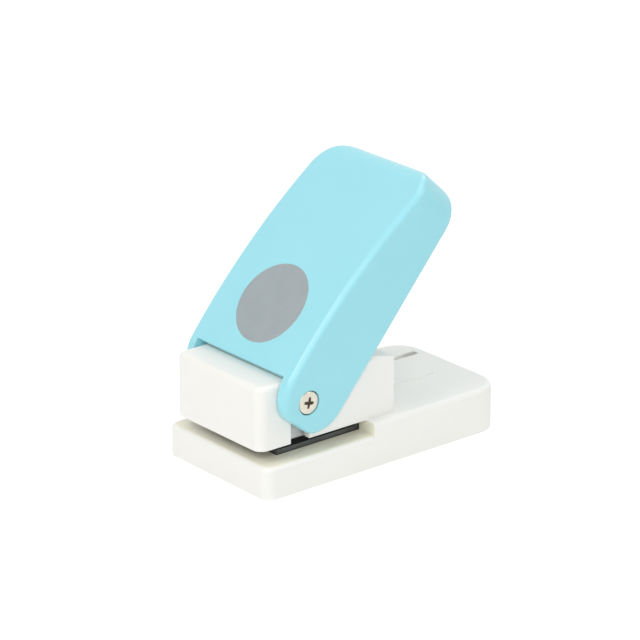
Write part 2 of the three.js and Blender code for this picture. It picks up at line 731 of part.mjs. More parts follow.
function leverRibs() {
  const top = leverTop;
  const overHead = headTop + 2 * pocketGap;
  const tailRibY = coverRear + 2 * shellWall;
  const outline = new THREE.Shape([
    new THREE.Vector2(ribFrontY, top),
    new THREE.Vector2(ribFrontY, overHead),
    new THREE.Vector2(pinY - ribEndRadius, pinZ),
    new THREE.Vector2(pinY + ribEndRadius, pinZ),
    new THREE.Vector2(ribRearY, overHead),
    new THREE.Vector2(tailRibY, overHead),
    new THREE.Vector2(tailRibY + tailRibDepth / 2, leverTop - tailRibDepth),
    new THREE.Vector2(tailRibEnd, leverTop - tailRibDepth),
    new THREE.Vector2(tailRibEnd, top),
  ]);
  const ribs = sides.map((s) => {
    const x0 = s > 0 ? ribInner : -ribInner - leverRib;
    const end = barX(ribEndRadius, pinY, pinZ, x0, x0 + leverRib);
    return spread(outline, x0, x0 + leverRib).add(end);
  });
  return joined(...ribs);
}

// Catch under the lever's tail: it drops into the deck slot's open end, and the slider goes over its toe.
const catchHalfWidth = 0.7;
const catchStem = 1.4;
const catchToe = 1.3;
const toeHeight = 1.7;
const catchGap = 0.3;
const gussetLength = 3.2;
const sliderNose = deckUnder - pocketGap / 2;
const toeTop = sliderNose - pocketGap;
const toeFront = sliderRear + catchGap;

function leverCatch() {
  const stemFront = toeFront + catchToe;
  const stemRear = stemFront + catchStem;
  const wall = leverTail - leverPlate / 2;
  const gussetTop = deckHeight + 2 * gussetLength;
  const outline = new THREE.Shape([
    new THREE.Vector2(stemRear, toeTop - toeHeight),
    new THREE.Vector2(toeFront, toeTop - toeHeight),
    new THREE.Vector2(toeFront, toeTop),
    new THREE.Vector2(stemFront, toeTop),
    new THREE.Vector2(stemFront, deckHeight + overrun),
    new THREE.Vector2(stemFront - gussetLength, gussetTop),
    new THREE.Vector2(stemFront - gussetLength, leverTop),
    new THREE.Vector2(wall, leverTop),
    new THREE.Vector2(wall, tailTopZ),
    new THREE.Vector2(stemRear, tailTopZ - gussetLength),
  ].reverse());
  return spread(outline, lockX - catchHalfWidth, lockX + catchHalfWidth);
}

// The ears' holes: a running hole on each journal and a recess for the screw head.
function earHoles() {
  const hole = barX(journalRadius + pocketGap, pivotY, pivotZ, -leverOuter - overrun, leverOuter + overrun);
  const recessRadius = pivotScrew.headRadius + 1.5 * pocketGap;
  const recesses = sides.map((s) => {
    const ends = [s * (leverOuter - headSeat), s * (leverOuter + overrun)].sort((a, b) => a - b);
    return barX(recessRadius, pivotY, pivotZ, ...ends);
  });
  return joined(hole, ...recesses);
}

// The grey disc that shows the shape, let into the lever's top.
const discLead = 19.6;
const discY = pivotY + discLead;
const discThickness = 0.35;
const discBed = 0.25;

// Part of the lever's top skin from one depth to another, cut round about the disc's place.
function discSkin(radius, outerInset, innerInset) {
  const reach = punchedCircle;
  const angleAt = (y) => Math.acos((y - topArcY) / topArcRadius);
  const ends = [angleAt(discY + reach), angleAt(discY - reach)];
  const outer = arcPoints(topArcY, topArcZ, topArcRadius - outerInset, ends[0], ends[1], topArcSteps);
  const inner = arcPoints(topArcY, topArcZ, topArcRadius - innerInset, ends[1], ends[0], topArcSteps);
  const skin = spread(new THREE.Shape([...outer, ...inner]), -reach, reach);
  const round = new THREE.CylinderGeometry(radius, radius, punchedCircle, roundSides).rotateX(Math.PI / 2);
  const tilt = angleAt(discY) - Math.PI / 2;
  return skin.intersect(solid(round.rotateX(tilt).translate(0, discY, arcHeight(discY))));
}

function leverShell() {
  const outer = leverBlock();
  const pinHole = barX(pinRadius + slipFit, pinY, pinZ, -earInner, earInner);
  const below = block([-leverOuter, 0, 0], [leverOuter, leverTail, pivotZ]);
  const catchPart = leverCatch().intersect(joined(outer, below));
  const shell = joined(outer.subtract(leverHollow()), leverRibs().intersect(outer), catchPart);
  const bed = discSkin(punchRadius + pocketGap, -overrun, discThickness + discBed);
  return piece('lever_shell', cut(shell, pinHole, earHoles(), bed), 'turquoisePlastic');
}

function sizeDisc() {
  return piece('size_disc', discSkin(punchRadius, 0, discThickness), 'greyPrint');
}

// Roller between the ribs and the pin that it turns on.
function pressRoller() {
  const half = ribInner - pocketGap;
  const body = barX(rollerRadius, pinY, pinZ, -half, half);
  const bore = barX(pinRadius + slipFit, pinY, pinZ, -half - overrun, half + overrun);
  return piece('press_roller', body.subtract(bore), 'brightSteel');
}

function rollerPin() {
  const half = ribInner + leverRib + pinEnd;
  return piece('roller_pin', barX(pinRadius, pinY, pinZ, -half, half), 'brightSteel');
}

// The lever and what it carries, turned open about the pivot.
function leverGroup() {
  const group = new THREE.Group();
  const pieces = [leverShell(), sizeDisc(), pressRoller(), rollerPin()];
  for (const mesh of pieces) mesh.geometry.translate(0, -pivotY, -pivotZ);
  group.add(...pieces);
  group.position.set(0, pivotY, pivotZ);
  group.rotation.x = leverSwing;
  return group;
}

// Lock slider: its tongue lies in the deck's slot and its flange slides under the deck.
function lockSlider() {
  const half = slotWidth / 2 - pocketGap;
  const top = deckHeight - tongueSink;
  const tongue = block([lockX - half, sliderFront, sliderNose], [lockX + half, sliderRear, top]);
  const wide = sliderFlange;
  const flangeRear = sliderFront + flangeLength;
  const flange = block([lockX - wide, sliderFront, flangeBottom], [lockX + wide, flangeRear, flangeTop]);
  const neckBottom = flangeTop - slipFit;
  const neckTop = sliderNose + slipFit;
  const neck = block([lockX - half, sliderFront, neckBottom], [lockX + half, flangeRear, neckTop]);
  return piece('lock_slider', joined(tongue, flange, neck), 'whitePlastic');
}

// Keeper: the strap under the slider, screwed to two posts of the deck.
function lockKeeper() {
  const reach = keeperBossOffset + keeperBossRadius;
  const y0 = keeperY - keeperLength / 2;
  const strap = block([lockX - reach, y0, keeperBottom], [lockX + reach, y0 + keeperLength, keeperTop]);
  const radius = shellScrew.shankRadius + slipFit;
  const height = [keeperBottom - overrun, keeperTop + overrun];
  const holes = keeperPlaces.map((x) => barZ(radius, x, keeperY, ...height));
  return piece('lock_keeper', cut(strap, ...holes), 'whitePlastic');
}

const model = new THREE.Group();
model.add(baseShell(), lowerDie(), dieSpacer(), guideBlock(), headCover());
model.add(punch(), pusherPlate(), plateScrew(), ...returnSprings());
model.add(...dieScrews(), ...coverScrews(), ...frameScrews(), ...pivotScrews());
model.add(lockSlider(), lockKeeper(), ...keeperScrews());
model.add(leverGroup());
model.position.y = -baseLength / 2;

const oneSpring = new CoilCurve(0, 0, springSeat + springWire + slipFit, plateBottom - springWire - slipFit);
console.log(`pivot at y ${(pivotY - baseLength / 2).toFixed(3)}, z ${pivotZ.toFixed(3)} mm`);
console.log(`punch travel ${punchTravel.toFixed(3)} mm, spring seat at z ${springSeat.toFixed(3)} mm`);
console.log(`least gap between spring curls ${leastSpringGap(oneSpring).toFixed(3)} mm`);

export default model;
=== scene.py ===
# A desk punch that cuts a round hole: a white base and head, the steel between them, and a turquoise lever.
# Sizes are in millimetres, counted from the base's front edge; in_row() turns them into the shared frame.

import math

import bmesh
import bpy
import numpy as np
from mathutils import Matrix, Vector
from mathutils.geometry import tessellate_polygon


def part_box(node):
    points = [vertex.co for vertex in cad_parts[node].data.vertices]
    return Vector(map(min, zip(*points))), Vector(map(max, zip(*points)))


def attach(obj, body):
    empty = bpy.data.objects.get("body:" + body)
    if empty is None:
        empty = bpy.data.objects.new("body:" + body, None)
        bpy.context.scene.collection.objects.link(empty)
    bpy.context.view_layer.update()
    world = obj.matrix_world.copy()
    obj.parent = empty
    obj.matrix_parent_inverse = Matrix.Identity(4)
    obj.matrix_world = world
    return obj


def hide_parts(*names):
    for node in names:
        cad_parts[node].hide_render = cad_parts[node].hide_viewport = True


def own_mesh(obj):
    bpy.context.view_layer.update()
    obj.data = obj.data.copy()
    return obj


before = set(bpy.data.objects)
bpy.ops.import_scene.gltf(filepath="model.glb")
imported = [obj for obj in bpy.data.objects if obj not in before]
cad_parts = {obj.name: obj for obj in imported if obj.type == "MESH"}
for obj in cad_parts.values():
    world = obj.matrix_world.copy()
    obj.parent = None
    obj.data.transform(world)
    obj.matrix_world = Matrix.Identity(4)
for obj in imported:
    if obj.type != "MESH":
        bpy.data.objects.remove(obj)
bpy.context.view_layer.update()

# Base
# The base is one white ABS moulding, open below, with ribs under its deck and a pocket for the die.
# Its edges come out of the mould slightly rounded, and its skin has a fine, even satin grain.

metres = 0.001
base_length = 87.5
base_ease = 0.3
floor_level, deck_level = 9.5, 13.3
step_y = 38.6
mouth_fade = 0.3
weld_distance = 0.002
flat_angle = 0.6
sharp_angle = 32


def as_points(*axes):
    """Coordinates given axis by axis and spread to one shape, as points."""
    return np.stack(np.broadcast_arrays(*axes), -1)


def in_row(points):
    """Points in millimetres from the front edge, moved by half the base's length and put in metres."""
    return (np.asarray(points, float) - [0, base_length / 2, 0]) * metres


def linear(red, green, blue):
    """A colour as seen, in steps of 255, as light: ((c / 255 + 0.055) / 1.055) to the power 2.4."""
    seen = np.array([red, green, blue]) / 255
    light = np.where(seen <= 0.04045, seen / 12.92, ((seen + 0.055) / 1.055) ** 2.4)
    return (*light, 1.0)


def place(tree, kind, inputs=None, **settings):
    """A shader node; each of its inputs takes a value, or an output that it is joined to."""
    node = tree.nodes.new("ShaderNode" + kind)
    for key, value in settings.items():
        setattr(node, key, value)
    for key, value in (inputs or {}).items():
        if isinstance(value, bpy.types.NodeSocket):
            tree.links.new(value, node.inputs[key])
        else:
            node.inputs[key].default_value = value
    return node


def reckon(tree, operation, *values):
    """The result of one calculation on two or three values."""
    return place(tree, "Math", dict(enumerate(values)), operation=operation).outputs[0]


def blend(tree, share, first, second):
    """A colour between two others. A Mix node's colours are its inputs 6 and 7, and its output 2."""
    return place(tree, "Mix", {0: share, 6: first, 7: second}, data_type="RGBA").outputs[2]


def new_group(name, inputs, outputs):
    """An empty node group with named sockets: its tree, what it is given, and what it puts out."""
    tree = bpy.data.node_groups.new(name, "ShaderNodeTree")
    kinds = {"Vector": "Vector", "Colour": "Color", "Second colour": "Color"}
    for direction, labels in (("INPUT", inputs), ("OUTPUT", outputs)):
        for label in labels:
            kind = "NodeSocket" + kinds.get(label, "Float")
            tree.interface.new_socket(label, in_out=direction, socket_type=kind)
    return tree, tree.nodes.new("NodeGroupInput").outputs, tree.nodes.new("NodeGroupOutput").inputs


def use(tree, group, **values):
    """A node group's outputs in a material; underscores in the names of its inputs stand for spaces."""
    node = tree.nodes.new("ShaderNodeGroup")
    node.node_tree = group
    for key, value in values.items():
        socket = node.inputs[key.replace("_", " ")]
        if isinstance(value, bpy.types.NodeSocket):
            tree.links.new(value, socket)
        else:
            socket.default_value = value
    return node.outputs


def new_material(name, roughness, metallic=0.0):
    """A material with its plain numbers on the shader, and the object's own coordinates to draw on."""
    made = bpy.data.materials.new(name)
    made.use_nodes = True
    tree = made.node_tree
    shader = tree.nodes["Principled BSDF"]
    shader.inputs["Roughness"].default_value = roughness
    shader.inputs["Metallic"].default_value = metallic
    where = place(tree, "TexCoord").outputs["Object"]
    return made, tree, shader, where


def join_finish(tree, shader, colour, face, strength, depth):
    """Joins a colour, a face's roughness and, as a bump, its height to the shader."""
    relief = {"Height": face["Height"], "Strength": strength, "Distance": depth * metres}
    bump = place(tree, "Bump", relief)
    tree.links.new(colour, shader.inputs["Base Color"])
    tree.links.new(face["Roughness"], shader.inputs["Roughness"])
    tree.links.new(bump.outputs["Normal"], shader.inputs["Normal"])


# Tone: a colour that drifts to a second one in soft clouds, mixed by amount.
tone_inputs = "Vector", "Colour", "Second colour", "Scale", "Amount"
tone, given, tone_out = new_group("tone", tone_inputs, ["Colour"])
clouds = place(tone, "TexNoise", {"Vector": given["Vector"], "Scale": given["Scale"], "Detail": 3})
spread = place(tone, "MapRange", {"Value": clouds.outputs["Fac"], "From Min": 0.35, "From Max": 0.65})
share = reckon(tone, "MULTIPLY", spread.outputs["Result"], given["Amount"])
tone.links.new(blend(tone, share, given["Colour"], given["Second colour"]), tone_out["Colour"])

# Skin: fine grain over a slow waviness, as height, and a roughness that varies with both.
skin_inputs = "Vector", "Grain", "Waves", "Roughness", "Spread"
skin, given, skin_out = new_group("skin", skin_inputs, ["Roughness", "Height"])
grain = place(skin, "TexNoise", {"Vector": given["Vector"], "Scale": given["Grain"], "Detail": 2})
waves = place(skin, "TexNoise", {"Vector": given["Vector"], "Scale": given["Waves"]})
both = reckon(skin, "ADD", grain.outputs["Fac"], waves.outputs["Fac"])
off_middle = reckon(skin, "SUBTRACT", both, 1.0)
varied = reckon(skin, "MULTIPLY_ADD", off_middle, given["Spread"], given["Roughness"])
skin.links.new(varied, skin_out["Roughness"])
skin.links.new(both, skin_out["Height"])


def grained_finish(
    name, tones, roughness, depth, clouds=45, drift=0.6, grain=2600, waves=60, spread=0.02, strength=0.25,
    metallic=0.0,
):
    """A moulded, cast, plated or printed face in two near tones. Its grain and waves stand up by strength
    times depth, in millimetres, and its roughness varies by spread. Clouds, grain and waves are counts
    per metre."""
    made, tree, shader, where = new_material(name, roughness, metallic)
    first, second = (linear(*seen) for seen in tones)
    colour = use(tree, tone, Vector=where, Colour=first, Second_colour=second, Scale=clouds, Amount=drift)
    face = use(tree, skin, Vector=where, Grain=grain, Waves=waves, Roughness=roughness, Spread=spread)
    join_finish(tree, shader, colour["Colour"], face, strength, depth)
    return made


def add_object(name, mesh, body, made, slot, *nodes):
    """A finished mesh as an object at the origin: it rides on a body and stands for its CAD nodes."""
    piece = bpy.data.objects.new(name, mesh)
    bpy.context.scene.collection.objects.link(piece)
    mesh.materials.append(made)
    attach(piece, body)
    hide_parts(*nodes)
    return piece


def ease_edges(piece, width, sharper=sharp_angle):
    """Rounds every edge sharper than an angle to that width, and keeps the flats flat."""
    piece.data.polygons.foreach_set("use_smooth", [True] * len(piece.data.polygons))
    edge = piece.modifiers.new("eased_edges", "BEVEL")
    edge.width = width * metres
    edge.segments = 2
    edge.limit_method = "ANGLE"
    edge.angle_limit = math.radians(sharper)
    edge.miter_outer = "MITER_ARC"
    flat = piece.modifiers.new("flat_faces", "WEIGHTED_NORMAL")
    flat.weight = 80


def solid_copy(node):
    """A new mesh with a CAD node's shape: loose triangles merged, and flat areas made into whole faces."""
    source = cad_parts[node].data
    points = np.zeros(3 * len(source.vertices))
    source.vertices.foreach_get("co", points)
    corners = np.zeros(3 * len(source.polygons), int)
    source.polygons.foreach_get("vertices", corners)
    mesh = bpy.data.meshes.new(node + "_shape")
    mesh.from_pydata(points.reshape(-1, 3), [], corners.reshape(-1, 3).tolist())
    shape = bmesh.new()
    shape.from_mesh(mesh)
    bmesh.ops.remove_doubles(shape, verts=shape.verts, dist=weld_distance * metres)
    limit = math.radians(flat_angle)
    bmesh.ops.dissolve_limit(shape, angle_limit=limit, verts=shape.verts, edges=shape.edges)
    shape.to_mesh(mesh)
    shape.free()
    return mesh


def add_solid(name, node, body, made, slot, ease):
    """A piece with its CAD node's own shape, its edges eased."""
    piece = add_object(name, solid_copy(node), body, made, slot, node)
    ease_edges(piece, ease)


white_tones = (248, 247, 242), (246, 245, 240)
white = grained_finish("white_abs", white_tones, roughness=0.36, depth=0.02)
# The base has its own copy of the white, which gets the mouth's painted warm light below.
base_white = grained_finish("base_abs", white_tones, roughness=0.36, depth=0.02)

# In the mouth, on the front's floor and on the step up to the deck, the white is tinted cream: painted warm
# light in the mouth's shade.
# The tint fades in just under the floor's level, fades out just under the deck's, and ends behind the step.
painted_warm_light = linear(251, 248, 229)
mouth = base_white.node_tree
mouth_colour = mouth.nodes["Principled BSDF"].inputs["Base Color"]
mouth_place = place(mouth, "SeparateXYZ", {"Vector": place(mouth, "TexCoord").outputs["Object"]}).outputs


def mouth_ramp(outer, inner):
    """0 at the outer level, 1 at the inner one, and even between them."""
    levels = {"Value": mouth_place["Z"], "From Min": outer * metres, "From Max": inner * metres}
    return place(mouth, "MapRange", levels).outputs["Result"]


from_floor = mouth_ramp(floor_level - mouth_fade, floor_level)
to_deck = mouth_ramp(deck_level, deck_level - mouth_fade)
between_levels = reckon(mouth, "MULTIPLY", from_floor, to_deck)
step_end = in_row([0, step_y + mouth_fade, 0])[1]
before_step = reckon(mouth, "LESS_THAN", mouth_place["Y"], step_end)
in_mouth = reckon(mouth, "MULTIPLY", between_levels, before_step)
plain = mouth_colour.links[0].from_socket
mouth.links.new(blend(mouth, in_mouth, plain, painted_warm_light), mouth_colour)

add_solid("base_moulding", "base_shell", "base", base_white, "white_plastic", base_ease)

# Storage lock
# A white slider lies in the deck's slot, held from below by a strap on two posts. Pushed rearwards,
# it catches the toe under the lever's tail and keeps the lever shut.

lock_ease = 0.25
add_solid("lock_tongue", "lock_slider", "lock", white, "white_plastic", lock_ease)
add_solid("lock_strap", "lock_keeper", "base", white, "white_plastic", lock_ease)

# Die and spacer
# The lower die is a ground plate of dark hardened steel with the round hole, let into the base. The
# spacer on its rear end sets the gap for the paper, and the spacer's front edge is the stop.

# Machining marks: fine lines along one axis, as tone, roughness and height.
marks_inputs = "Vector", "Scale", "Colour", "Second colour", "Roughness", "Spread"
marks, given, marks_out = new_group("machining_marks", marks_inputs, ["Colour", "Roughness", "Height"])
noise = {"Vector": given["Vector"], "Scale": given["Scale"], "Detail": 5, "Roughness": 0.65}
line = place(marks, "TexNoise", noise).outputs["Fac"]
centred = reckon(marks, "SUBTRACT", line, 0.5)
varied = reckon(marks, "MULTIPLY_ADD", centred, given["Spread"], given["Roughness"])
marks.links.new(blend(marks, line, given["Colour"], given["Second colour"]), marks_out["Colour"])
marks.links.new(varied, marks_out["Roughness"])
marks.links.new(line, marks_out["Height"])


def machined_finish(name, tones, roughness, stretch, lines=900):
    """A metal with machining marks, so many lines per metre, along the axis that stretch makes long."""
    made, tree, shader, where = new_material(name, roughness, metallic=1.0)
    first, second = (linear(*seen) for seen in tones)
    along = place(tree, "Mapping", {"Vector": where, "Scale": stretch}).outputs["Vector"]
    drawn = {"Vector": along, "Scale": lines, "Colour": first, "Second_colour": second}
    face = use(tree, marks, Roughness=roughness, Spread=0.25, **drawn)
    join_finish(tree, shader, face["Colour"], face, strength=0.3, depth=0.01)
    return made


plate_ease = 0.12
die_steel = machined_finish("die_steel", ((118, 122, 124), (94, 97, 98)), 0.42, stretch=(0.06, 1, 1))
plate_steel = machined_finish("plate_steel", ((205, 207, 208), (176, 179, 181)), 0.3, stretch=(1, 0.05, 1))
add_solid("die_plate", "lower_die", "base", die_steel, "dark_steel", plate_ease)
add_solid("paper_stop", "die_spacer", "base", plate_steel, "bright_steel", plate_ease)

# Guide block
# A zinc casting, dull grey and slightly pitted, bored for the punch. Its two cheeks carry the
# journals that the lever turns on.

block_ease = 0.2
zinc_tones = (188, 190, 191), (158, 161, 163)
zinc = grained_finish(
    "zinc_casting", zinc_tones, roughness=0.5, depth=0.04, clouds=180, drift=0.8, grain=1500, waves=300,
    spread=0.2, strength=0.4, metallic=1.0,
)
add_solid("guide_casting", "guide_block", "base", zinc, "zinc", block_ease)

# Punch and pusher plate
# The punch is a turned and ground steel cutter with a scooped edge. The stamped plate screwed on top
# of it takes the roller's push and rests on the four springs.

cutter_ease, pusher_ease = 0.06, 0.15
turned_tones = (214, 215, 216), (182, 184, 186)
turned_steel = machined_finish("turned_steel", turned_tones, 0.22, stretch=(1, 1, 14), lines=500)
add_solid("punch_cutter", "punch", "punch", turned_steel, "bright_steel", cutter_ease)
add_solid("pusher_stamping", "pusher_plate", "punch", plate_steel, "bright_steel", pusher_ease)

# Return springs
# Four compression springs of drawn wire with closed ends stand in the block's pockets and lift the
# punch. Each is one tube round a helix.

punch_y = 24.6
spring_offset = 11.483
spring_seat, spring_top = 14.2, 23.8
coil_radius, wire_radius = 1.65, 0.3
active_curls, closed_curls = 6, 2
closed_slack = 1.02
closed_pitch = closed_slack * 2 * wire_radius
end_gap = 0.05
curl_samples, wire_sides = 28, 10


def wound_spring(x, y, low, high):
    """A tube round a helix: the height runs with the angle, but the first and last curl lie close."""
    turns = active_curls + closed_curls
    angle = np.linspace(0, 2 * math.pi * turns, turns * curl_samples + 1)
    levels = [low, low + closed_pitch, high - closed_pitch, high]
    height = np.interp(angle / (2 * math.pi), [0, 1, turns - 1, turns], levels)
    path = as_points(x + coil_radius * np.cos(angle), y + coil_radius * np.sin(angle), height)
    ahead = np.gradient(path, axis=0)
    ahead /= np.linalg.norm(ahead, axis=1, keepdims=True)
    side = as_points(np.cos(angle), np.sin(angle), 0)
    up = np.cross(ahead, side)
    around = np.linspace(0, 2 * math.pi, wire_sides + 1)[None, :, None]
    return path[:, None] + wire_radius * (np.cos(around) * side[:, None] + np.sin(around) * up[:, None])


def grid_faces(points, first):
    """Four-sided faces between neighbouring rows and columns of a grid, numbered from first."""
    rows, columns = points.shape[:2]
    number = first + np.arange(rows * columns).reshape(rows, columns)
    return np.stack([number[:-1, :-1], number[1:, :-1], number[1:, 1:], number[:-1, 1:]], -1).reshape(-1, 4)


def surface_mesh(name, grids, flats=()):
    """One closed mesh of point grids and flat outlines: what meets is joined, and faces turned outwards."""
    points, faces, count = [], [], 0
    for grid in grids:
        faces += grid_faces(grid, count).tolist()
        points.append(grid.reshape(-1, 3))
        count += points[-1].shape[0]
    for loops in flats:
        filled = tessellate_polygon([[Vector(p) for p in loop] for loop in loops])
        faces += [[count + i for i in three] for three in filled]
        points += [np.asarray(loop, float).reshape(-1, 3) for loop in loops]
        count += sum(len(loop) for loop in loops)
    mesh = bpy.data.meshes.new(name)
    mesh.from_pydata(np.concatenate(points), [], faces)
    shape = bmesh.new()
    shape.from_mesh(mesh)
    bmesh.ops.remove_doubles(shape, verts=shape.verts, dist=weld_distance * metres)
    bmesh.ops.dissolve_degenerate(shape, edges=shape.edges, dist=weld_distance * metres)
    bmesh.ops.recalc_face_normals(shape, faces=shape.faces)
    shape.to_mesh(mesh)
    shape.free()
    mesh.polygons.foreach_set("use_smooth", [True] * len(mesh.polygons))
    return mesh


wire_tones = (168, 171, 176), (128, 132, 138)
drawn_wire = machined_finish("drawn_wire", wire_tones, 0.3, stretch=(1, 1, 1), lines=1400)
spring_ends = spring_seat + wire_radius + end_gap, spring_top - wire_radius - end_gap
spring_sides = {"front_left": (-1, -1), "rear_left": (-1, 1), "front_right": (1, -1), "rear_right": (1, 1)}
for name, (side, lead) in spring_sides.items():
    spring_x, spring_y = side * spring_offset, punch_y + lead * spring_offset
    tube = in_row(wound_spring(spring_x, spring_y, *spring_ends))
    caps = [[tube[0][:-1]], [tube[-1][:-1]]]
    mesh = surface_mesh("spring_" + name, [tube], caps)
    spring = add_object("spring_" + name, mesh, "base", drawn_wire, "spring_wire", "return_spring_" + name)
    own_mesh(spring)

# Screws
# Thirteen cross-recessed screws hold the punch together. The two large ones, which keep the lever's
# ears on the journals, are nickel-plated, and the others are plain bright steel.

# Recess: the metal gives way to a dull, dark brown that is not metal where the piece's recess attribute is
# 1; the attribute grows with depth, so the recess darkens towards its bottom.
recess_deep_colour, recess_deep_roughness = linear(92, 80, 62), 0.75
recess_outputs = "Colour", "Roughness", "Metal"
recess, given, recess_out = new_group("recess_depth_tone", ["Colour", "Roughness"], recess_outputs)
deep = place(recess, "Attribute", attribute_name="recess").outputs["Fac"]
dull = place(recess, "MapRange", {"Value": deep, "To Min": given["Roughness"], "To Max": recess_deep_roughness})
metal = place(recess, "MapRange", {"Value": deep, "To Min": 1.0, "To Max": 0.0})
recess.links.new(blend(recess, deep, given["Colour"], recess_deep_colour), recess_out["Colour"])
recess.links.new(dull.outputs["Result"], recess_out["Roughness"])
recess.links.new(metal.outputs["Result"], recess_out["Metal"])


def darken_recess(made):
    """Puts the recess group between a metal's colour and roughness and its shader."""
    tree = made.node_tree
    inputs = tree.nodes["Principled BSDF"].inputs
    colour, roughness = (inputs[key].links[0].from_socket for key in ("Base Color", "Roughness"))
    worn = use(tree, recess, Colour=colour, Roughness=roughness)
    for result, key in (("Colour", "Base Color"), ("Roughness", "Roughness"), ("Metal", "Metallic")):
        tree.links.new(worn[result], inputs[key])


bright_tones = (208, 210, 212), (184, 187, 190)
bright_steel = machined_finish("bright_steel", bright_tones, 0.26, stretch=(1, 1, 1), lines=700)
darken_recess(bright_steel)
nickel_tones = (217, 212, 198), (205, 199, 184)
nickel = grained_finish(
    "nickel_plating", nickel_tones, roughness=0.32, depth=0.01, clouds=700, drift=0.8, grain=3000,
    waves=500, spread=0.12, strength=0.3, metallic=1.0,
)
darken_recess(nickel)

# Every head has a rounded rim. The recess narrows and rises towards the ends of its arms, and its walls
# slope over a narrow strip on both sides of the line that its size gives.
rim_round, rim_steps = 0.35, 6
arm_share, arm_taper = 0.34, 0.2
wall_in, wall_out = 0.1, 0.06
end_in, end_out = 0.15, 0.1
recess_share, recess_rise = 0.8, 0.45
# The recess's darker tone begins and is full at these depths under the dome, and reaches this far past the
# arms.
recess_tone_from, recess_tone_full, recess_tone_margin = 0.04, 0.3, 0.2


def smooth_rise(low, high, value):
    """0 below low, 1 above high, and 3 t t - 2 t t t between them."""
    t = np.clip((value - low) / (high - low), 0, 1)
    return t * t * (3 - 2 * t)


def cross_screw(head_radius, head_height, shank_radius, length, crown, recess_arm, rings, around):
    """A round grid over the head's top, its height a low dome less the depth of a cross whose arms narrow
    outwards; then the head's side, its underside and the shank, turned about z."""
    angle = np.linspace(0, 2 * math.pi, around + 1)[None, :]
    share_out = np.linspace(0, 1, rings)[:, None]
    radius = share_out * (head_radius - rim_round)
    x, y = radius * np.cos(angle), radius * np.sin(angle)
    dome = head_height - crown * (radius / head_radius) ** 2
    arm_width = recess_arm * arm_share - arm_taper * radius / recess_arm
    across = np.minimum(np.abs(x), np.abs(y))
    along = np.maximum(np.abs(x), np.abs(y))
    within_walls = 1 - smooth_rise(arm_width - wall_in, arm_width + wall_out, across)
    within_ends = 1 - smooth_rise(recess_arm - end_in, recess_arm + end_out, along)
    depth = recess_share * head_height * (1 - recess_rise * along / recess_arm)
    top = as_points(x, y, dome - within_walls * within_ends * depth)
    bend = np.linspace(0, math.pi / 2, rim_steps)[1:]
    rim_radius = head_radius - rim_round + rim_round * np.sin(bend)
    rim_height = dome[-1, 0] - rim_round + rim_round * np.cos(bend)
    point = shank_radius / 2
    shank_side = [(head_radius, 0), (shank_radius, 0), (shank_radius, point - length)]
    shank_end = [(point, -length), (0, -length)]
    profile = np.concatenate([as_points(rim_radius, rim_height), shank_side, shank_end])
    out, level = profile[:, :1], profile[:, 1:]
    turned = as_points(out * np.cos(angle), out * np.sin(angle), level)
    return np.concatenate([top, turned])


def mark_recess(mesh, size, seat, turn):
    """Sets the recess attribute from how far each point lies under the head's dome."""
    points = np.zeros(3 * len(mesh.vertices))
    mesh.vertices.foreach_get("co", points)
    local = (points.reshape(-1, 3) - in_row(seat)) / metres @ turn
    out = np.hypot(local[:, 0], local[:, 1])
    below = size["head_height"] - size["crown"] * (out / size["head_radius"]) ** 2 - local[:, 2]
    inner = (out < size["recess_arm"] + recess_tone_margin) & (local[:, 2] > 0)
    mark = mesh.attributes.new("recess", "FLOAT", "POINT")
    mark.data.foreach_set("value", np.where(inner, smooth_rise(recess_tone_from, recess_tone_full, below), 0.0))


def facing(out, spin=0.0):
    """A turn that points a screw's head along a direction, spun about it by an angle in degrees."""
    aim = Vector(out).to_track_quat("Z", "Y").to_matrix()
    return np.array(aim @ Matrix.Rotation(math.radians(spin), 3, "Z"))


def add_screw(node, body, size, length, turn, made, slot, **samples):
    """A screw in the box of its CAD node, turned, with its head's underside on what it holds."""
    low, high = (np.array(corner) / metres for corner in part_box(node))
    middle = (low + high) / 2 + [0, base_length / 2, 0]
    axis = turn[:, 2]
    reach = np.abs(axis) @ (high - low) / 2
    seat = middle + axis * (reach - size["head_height"])
    points = cross_screw(length=length, **size, **samples)
    mesh = surface_mesh("screw_" + node, [in_row(points @ turn.T + seat)])
    mark_recess(mesh, size, seat, turn)
    add_object("screw_" + node.replace("_screw", ""), mesh, body, made, slot, node)


head_up, head_down = facing((0, 0, 1)), facing((0, 0, -1))
head_right, head_left = facing((1, 0, 0), spin=-12), facing((-1, 0, 0), spin=30)
shell_screw = dict(head_radius=2.1, head_height=1.4, shank_radius=1.0, crown=0.35, recess_arm=1.25)
frame_screw = dict(head_radius=2.6, head_height=1.8, shank_radius=1.25, crown=0.4, recess_arm=1.5)
pivot_screw = dict(head_radius=3.35, head_height=1.3, shank_radius=1.25, crown=0.3, recess_arm=1.65)
die_length, cover_length, keeper_length = 4.15, 8.2, 4.9
frame_length, plate_length, pivot_length = 9.54, 5.4, 7.2
in_steel = dict(made=bright_steel, slot="screw_steel", rings=20, around=48)
in_nickel = dict(made=nickel, slot="nickel", rings=44, around=120)

for corner in ("front_left", "rear_left", "front_right", "rear_right"):
    add_screw("die_screw_" + corner, "base", shell_screw, die_length, head_down, **in_steel)
for hand in ("left", "right"):
    add_screw("cover_screw_" + hand, "base", shell_screw, cover_length, head_down, **in_steel)
    add_screw("keeper_screw_" + hand, "base", shell_screw, keeper_length, head_down, **in_steel)
    add_screw("frame_screw_" + hand, "base", frame_screw, frame_length, head_up, **in_steel)
add_screw("plate_screw", "punch", shell_screw, plate_length, head_up, **in_steel)
add_screw("pivot_screw_right", "base", pivot_screw, pivot_length, head_right, **in_nickel)
add_screw("pivot_screw_left", "base", pivot_screw, pivot_length, head_left, **in_nickel)

